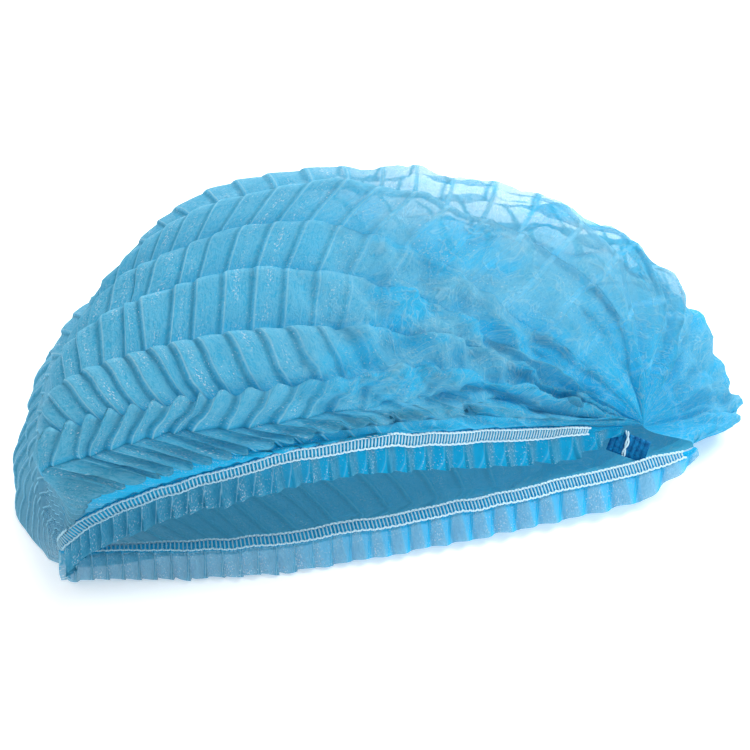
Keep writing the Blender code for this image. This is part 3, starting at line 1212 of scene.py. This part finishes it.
class MaskGroup(Nodes):
    """A shader node group that gives one mask from 0 to 1."""

    def __init__(self, name: str, **inputs: object) -> None:
        """Starts the group.

        Args:
            name: Its name.
            **inputs: What each of its inputs holds until it is linked.
        """
        super().__init__(bpy.data.node_groups.new(name, "ShaderNodeTree"))
        enter = self.tree.nodes.new("NodeGroupInput")
        for label, value in inputs.items():
            kind = "Vector" if isinstance(value, tuple) else "Float"
            socket = self.tree.interface.new_socket(
                label, in_out="INPUT", socket_type=f"NodeSocket{kind}")
            socket.default_value = value
        self.given = {label: enter.outputs[label] for label in inputs}

    def give(self, mask: bpy.types.NodeSocket) -> bpy.types.NodeTree:
        """Passes the mask on as the group's value and returns the whole group."""
        self.tree.interface.new_socket("Value", in_out="OUTPUT", socket_type="NodeSocketFloat")
        leave = self.tree.nodes.new("NodeGroupOutput")
        self.tree.links.new(mask, leave.inputs["Value"])
        return self.tree


def fibre_group() -> bpy.types.NodeTree:
    """Makes the group of fine matted fibres."""
    group = MaskGroup("fibre_grain", Vector=(0.0, 0.0, 0.0), Scale=900.0,
                      Stretch=(1.0, 0.35, 1.0))
    stretched = group.add("VectorMath", {0: group.given["Vector"], 1: group.given["Stretch"]},
                          operation="MULTIPLY").outputs[0]
    noise = group.noise(stretched, group.given["Scale"], 3.0, Roughness=0.62, Distortion=0.6)
    return group.give(group.spread(noise, 0.32, 0.68))


def glint_group() -> bpy.types.NodeTree:
    """Makes the group of small bright specks."""
    group = MaskGroup("fibre_glints", Vector=(0.0, 0.0, 0.0), Scale=1800.0, Amount=0.5)
    fine = group.noise(group.given["Vector"], group.given["Scale"], 1.0, Roughness=0.5)
    patch = group.spread(group.noise(group.given["Vector"], 130.0, 2.0), 0.38, 0.66)
    limit = group.math("SUBTRACT", 0.72, group.given["Amount"])
    over = group.math("SUBTRACT", fine, limit)
    sharp = group.math("MULTIPLY", over, 9.0, clamp=True)
    return group.give(group.times(sharp, patch))


def crinkle_group() -> bpy.types.NodeTree:
    """Makes the group of small sharp crinkles pressed into the sheet."""
    group = MaskGroup("sheet_crinkles", Vector=(0.0, 0.0, 0.0), Scale=420.0, Fall=-9.0)
    noise = group.noise(group.given["Vector"], group.given["Scale"], 3.0,
                        Roughness=0.6, Distortion=1.4)
    away = group.math("ABSOLUTE", group.math("SUBTRACT", noise, 0.5))
    return group.give(group.math("MULTIPLY_ADD", away, group.given["Fall"], 1.0, clamp=True))


def crease_group() -> bpy.types.NodeTree:
    """Makes the group of thin lines at the whole numbers of a count."""
    group = MaskGroup("crease_line", Count=0.5, Width=0.03)
    away = group.math("PINGPONG", group.given["Count"], 0.5)
    share = group.math("DIVIDE", away, group.given["Width"])
    return group.give(group.math("SUBTRACT", 1.0, share, clamp=True))


def start_material(name: str, groups: dict[str, bpy.types.NodeTree] | None = None
                   ) -> tuple[bpy.types.Material, Nodes]:
    """Starts a material.

    Args:
        name: The material's name.
        groups: The shared groups that it can use.

    Returns:
        The material and its nodes.
    """
    material = bpy.data.materials.new(name)
    material.use_nodes = True
    return material, Nodes(material.node_tree, groups or {})


@dataclass(frozen=True)
class SheetFinish:
    """The thin non-woven sheet: colours, painted shade and highlights, clearness, glitter."""

    name: str
    blue: Color = (0.030, 0.480, 0.760)
    # Greyer blue: painted shade towards the crown's left gather, also laid over the frills
    grey: Color = (0.050, 0.360, 0.540)
    pale: Color = (0.270, 0.710, 0.900)
    # Light tint of the painted highlight on pleat edges, also used for pale crease lines and fibre
    # streaks
    bright: Color = (0.560, 0.880, 0.980)
    spark: Color = (0.850, 0.930, 0.980)
    vivid: Color = (0.000, 0.600, 1.000)
    # Colour of the painted shade in pleat valleys, along tucked folds and on the frills
    painted_shade_and_dark_grain: Color = (0.008, 0.210, 0.360)
    # Painted shade of the crown's inner face
    painted_inside_shade: Color = (0.058, 0.300, 0.395)
    mist: Color = (0.500, 0.700, 0.800)
    tint: Color = (0.870, 0.930, 0.965)
    cover: float = 0.97
    through: float = 0.50
    roughness: float = 0.50
    specular: float = 0.12
    glitter: float = 0.08
    relief: float = 0.00025
    crease_widths: tuple[float, ...] = (0.020, 0.013, 0.013, 0.026, 0.040)

    def masks(self, nodes: Nodes) -> dict[str, bpy.types.NodeSocket]:
        """Adds the fine structure of the sheet.

        Args:
            nodes: The material's nodes.

        Returns:
            Where each kind of structure lies, from 0 to 1, by name.
        """
        place = nodes.add("UVMap", {}, uv_map="sheet").outputs[0]
        crumpled = nodes.mark("lines")
        comb = nodes.use("fibres", Vector=place, Scale=700.0, Stretch=(1.6, 0.12, 1.0))
        rays = nodes.use("fibres", Vector=place, Scale=1000.0, Stretch=(0.30, 1.1, 1.0))
        wrinkles = nodes.use("crinkles", Vector=place, Scale=250.0, Fall=-30.0)
        pressed = nodes.use("crinkles", Vector=place, Scale=95.0, Fall=-42.0)
        amount = nodes.scaled(nodes.mark("streak"), 0.14, self.glitter)
        # Painted highlight: a thin bright line on the raised edge of each pleat
        edge = nodes.use("creases", Count=nodes.mark("pleat"), Width=0.045)
        creased = 0.0
        for number, width in enumerate(self.crease_widths):
            line = nodes.use("creases", Count=nodes.mark(f"crease_{number}"), Width=width)
            creased = nodes.math("MAXIMUM", creased, line)
        return {
            "grain": nodes.use("fibres", Vector=place, Scale=1100.0),
            "combed": nodes.times(comb, nodes.mark("brush")),
            "crinkle": nodes.use("crinkles", Vector=place),
            "glint": nodes.use("glints", Vector=place, Amount=amount),
            "edge": nodes.times(edge, nodes.mark("crest_highlight")),
            "rays": nodes.times(rays, crumpled),
            "wrinkles": nodes.times(wrinkles, crumpled),
            "pressed": nodes.times(pressed, crumpled),
            "creased": nodes.times(creased, crumpled),
        }

    def color(self, nodes: Nodes, mask: dict[str, bpy.types.NodeSocket]) -> bpy.types.NodeSocket:
        """Lays the colours over each other, each one over those before it.

        Args:
            nodes: The material's nodes.
            mask: Where each kind of structure lies.

        Returns:
            The colour of the sheet.
        """
        back = nodes.add("NewGeometry", {}).outputs["Backfacing"]
        deep = nodes.scaled(nodes.mark("deep"), 0.97)
        color = (*self.blue, 1.0)
        for share, coat in (
            # Painted shade towards the left gather; the frills take this grey as well
            (nodes.scaled(nodes.mark("grey"), 0.9), self.grey),
            (nodes.scaled(mask["grain"], 0.34), self.pale),
            (nodes.scaled(mask["combed"], 0.70), self.pale),
            (nodes.scaled(mask["crinkle"], 0.42), self.pale),
            (nodes.scaled(mask["rays"], 0.22), self.bright),
            (nodes.scaled(nodes.mark("clear"), 0.38), self.mist),
            (nodes.scaled(mask["rays"], -0.10, deep), self.vivid),
            (nodes.scaled(mask["wrinkles"], 0.42), self.pale),
            (nodes.scaled(mask["pressed"], 0.40), self.bright),
            # Painted shade from the marks
            (nodes.scaled(nodes.mark("painted_shade_and_dark_grain"), 0.55), self.painted_shade_and_dark_grain),
            (nodes.scaled(mask["creased"], 0.15), self.bright),
            # Painted highlight on the raised edges of the pleats
            (nodes.scaled(mask["edge"], 0.62), self.bright),
            (nodes.scaled(mask["glint"], 0.85), self.spark),
            # Painted shade on the crown's inner face, where hollow is 1; the hems carry none
            (nodes.scaled(nodes.times(back, nodes.mark("hollow")), 0.70), self.painted_inside_shade),
        ):
            color = nodes.blend(share, color, coat)
        return color

    def make(self, groups: dict[str, bpy.types.NodeTree]) -> bpy.types.Material:
        """Makes the material.

        Args:
            groups: The shared groups fibres, glints, creases and crinkles.

        Returns:
            The new material.
        """
        material, nodes = start_material(self.name, groups)
        nodes.tree.nodes.clear()
        mask = self.masks(nodes)
        color = self.color(nodes, mask)
        height = nodes.math("MULTIPLY_ADD", mask["crinkle"], 2.0, mask["grain"])
        height = nodes.math("ADD", height, mask["combed"])
        for name, rise in (("pressed", 5.0), ("wrinkles", 3.0)):
            height = nodes.math("MULTIPLY_ADD", mask[name], rise, height)
        bump = nodes.add("Bump", {"Height": height, "Strength": 0.45, "Distance": self.relief})
        front = nodes.add("BsdfPrincipled", {"Base Color": color, "Normal": bump.outputs[0],
                                             "Roughness": self.roughness,
                                             "Specular IOR Level": self.specular})
        body = nodes.both(self.through, front, nodes.add("BsdfTranslucent", {"Color": color}))
        clear = nodes.add("BsdfTransparent", {"Color": (*self.tint, 1.0)})
        thinned = nodes.scaled(nodes.mark("clear"), -0.65, self.cover)
        doubled = nodes.scaled(nodes.mark("double"), 0.10, thinned)
        barred = nodes.use("creases", Count=nodes.mark("pleat"), Width=0.09)
        opaque = nodes.scaled(barred, 0.60, doubled)
        seen = nodes.both(opaque, clear, body)
        # Shadow rays need no fibres, and a plain shader for them saves most of the time
        plain = nodes.add("BsdfDiffuse", {"Color": (*self.blue, 1.0)})
        cast = nodes.both(opaque, clear, plain)
        shadow = nodes.add("LightPath", {}).outputs["Is Shadow Ray"]
        final = nodes.both(shadow, seen, cast)
        nodes.add("OutputMaterial", {"Surface": final.outputs[0]})
        return material


@dataclass(frozen=True)
class ThreadFinish:
    """The pale thread of the stitches."""

    name: str = "pale_thread"
    light: Color = (0.58, 0.80, 0.90)
    dull: Color = (0.16, 0.42, 0.56)
    roughness: float = 0.7

    def make(self) -> bpy.types.Material:
        """Makes the material.

        Returns:
            The new material.
        """
        material, nodes = start_material(self.name)
        color = nodes.blend(nodes.mark("tone"), (*self.dull, 1.0), self.light)
        nodes.fill(nodes.tree.nodes["Principled BSDF"],
                   {"Base Color": color, "Roughness": self.roughness})
        return material


@dataclass(frozen=True)
class TabFinish:
    """The bonded layers of the end tabs, mottled by the fibre grain."""

    name: str = "bonded_layers"
    blue: Color = (0.001, 0.210, 0.480)
    # Deeper blue fibres of the tab's grain
    painted_shade_and_dark_grain: Color = (0.000, 0.060, 0.200)
    roughness: float = 0.55
    specular: float = 0.15

    def make(self, groups: dict[str, bpy.types.NodeTree]) -> bpy.types.Material:
        """Makes the material.

        Args:
            groups: The shared groups, of which it uses the fibres.

        Returns:
            The new material.
        """
        material, nodes = start_material(self.name, groups)
        grain = nodes.use("fibres", Vector=nodes.add("TexCoord", {}).outputs["Object"])
        color = nodes.blend(grain, (*self.painted_shade_and_dark_grain, 1.0), self.blue)
        nodes.fill(nodes.tree.nodes["Principled BSDF"],
                   {"Base Color": color, "Roughness": self.roughness,
                    "Specular IOR Level": self.specular})
        return material


class Lamp(NamedTuple):
    """One square soft light, with its place and size in metres and its power in watts."""

    name: str
    spot: tuple[float, float, float]
    size: float
    power: float


LAMPS: tuple[Lamp, ...] = (
    Lamp("key", (0.80, -0.25, 1.00), 0.6, 11.5),
    Lamp("back", (0.45, 0.95, 0.85), 0.7, 16.0),
    Lamp("side", (-1.00, -0.30, 0.60), 0.7, 1.5),
)


@dataclass
class Studio:
    """The floor, the light and the camera."""

    azimuth: float = -22.7
    elevation: float = 32.0
    distance: float = 1.5
    pixels_per_metre: float = 3200.0
    picture: int = 750
    target_pixel: tuple[float, float] = (364.7, 403.0)
    target: tuple[float, float, float] = (0.00665, 0.020, 0.040)
    sensor: float = 36.0
    floor_glow: float = 0.32
    sky_strength: float = 0.74
    aim: tuple[float, float, float] = (0.0, 0.0, 0.04)

    def floor(self) -> bpy.types.Object:
        """Adds the pale floor."""
        bpy.ops.object.select_all(action="DESELECT")
        bpy.ops.mesh.primitive_plane_add(size=6.0, location=(0.0, 0.0, 0.0))
        obj = bpy.context.active_object
        obj.name = "floor"
        material, nodes = start_material("pale_floor")
        nodes.fill(nodes.tree.nodes["Principled BSDF"],
                   {"Base Color": (0.92, 0.93, 0.94, 1.0), "Roughness": 0.9,
                    "Emission Color": (1.0, 1.0, 1.0, 1.0),
                    "Emission Strength": self.floor_glow})
        obj.data.materials.append(material)
        return obj

    def lights(self) -> None:
        """Adds the soft light."""
        world = bpy.data.worlds.new("studio")
        bpy.context.scene.world = world
        world.use_nodes = True
        sky = world.node_tree.nodes["Background"]
        sky.inputs["Color"].default_value = (1.0, 1.0, 1.0, 1.0)
        sky.inputs["Strength"].default_value = self.sky_strength
        for lamp in LAMPS:
            data = bpy.data.lights.new(lamp.name, "AREA")
            data.size = lamp.size
            data.energy = lamp.power
            obj = bpy.data.objects.new(lamp.name, data)
            bpy.context.scene.collection.objects.link(obj)
            way = Vector(self.aim) - Vector(lamp.spot)
            turn = way.to_track_quat("-Z", "Y").to_matrix().to_4x4()
            obj.matrix_world = Matrix.Translation(lamp.spot) @ turn

    def camera(self) -> None:
        """Adds the camera at the photo's angle."""
        a, e = math.radians(self.azimuth), math.radians(self.elevation)
        back = Vector((math.sin(a) * math.cos(e), -math.cos(a) * math.cos(e), math.sin(e)))
        target = Vector(self.target) + Vector(ORIGIN_SHIFT.tolist())
        data = bpy.data.cameras.new("photo_camera")
        data.sensor_width = self.sensor
        data.lens = self.sensor * self.distance / (self.picture / self.pixels_per_metre)
        data.shift_x = (self.picture / 2 - self.target_pixel[0]) / self.picture
        data.shift_y = (self.target_pixel[1] - self.picture / 2) / self.picture
        data.clip_end = 20.0
        obj = bpy.data.objects.new("photo_camera", data)
        bpy.context.scene.collection.objects.link(obj)
        turn = (-back).to_track_quat("-Z", "Y").to_matrix().to_4x4()
        obj.matrix_world = Matrix.Translation(target + back * self.distance) @ turn
        bpy.context.scene.camera = obj

    def build(self) -> None:
        """Adds the whole studio."""
        self.floor()
        self.lights()
        self.camera()
        scene = bpy.context.scene
        scene.view_settings.view_transform = "Standard"
        scene.cycles.max_bounces = 6
        scene.cycles.diffuse_bounces = 3
        scene.cycles.transmission_bounces = 4
        scene.cycles.transparent_max_bounces = 7


def dress(obj: bpy.types.Object, material: bpy.types.Material) -> None:
    """Gives an object one material in place of any it has."""
    obj.data.materials.clear()
    obj.data.materials.append(material)


def main() -> None:
    """Builds every piece in order and reports it."""
    Studio().build()
    groups = {"fibres": fibre_group(), "glints": glint_group(), "creases": crease_group(),
              "crinkles": crinkle_group()}
    sheet = SheetFinish("pleated_sheet").make(groups)
    thread = ThreadFinish().make()
    bonded = TabFinish().make(groups)
    form = CapForm()
    pieces = [(CrownSheet(form).build(), sheet)]
    for hem, first, last in (
        (HemStrip(form, Side.FRONT, end=0.960, full=0.86, clear=0.12, shaded=0.70), 0.012, 0.895),
        (HemStrip(form, Side.BACK, end=0.920, full=0.82, clear=0.36, shaded=0.15), 0.030, 0.900),
    ):
        pieces.append((hem.build(), sheet))
        pieces.append((LadderStitch(form, hem.side, first, last).build(), thread))
    tab, tail = EndTab().build()
    pieces += [(tab, bonded), (tail, thread)]
    for slot in bpy.data.objects["left_end_tab"].material_slots:
        slot.material = bonded
    for obj, material in pieces:
        dress(obj, material)
        LOG.info("%s: %d faces", obj.name, len(obj.data.polygons))


if __name__ == "__main__":
    logging.basicConfig(level=logging.INFO)
    main()
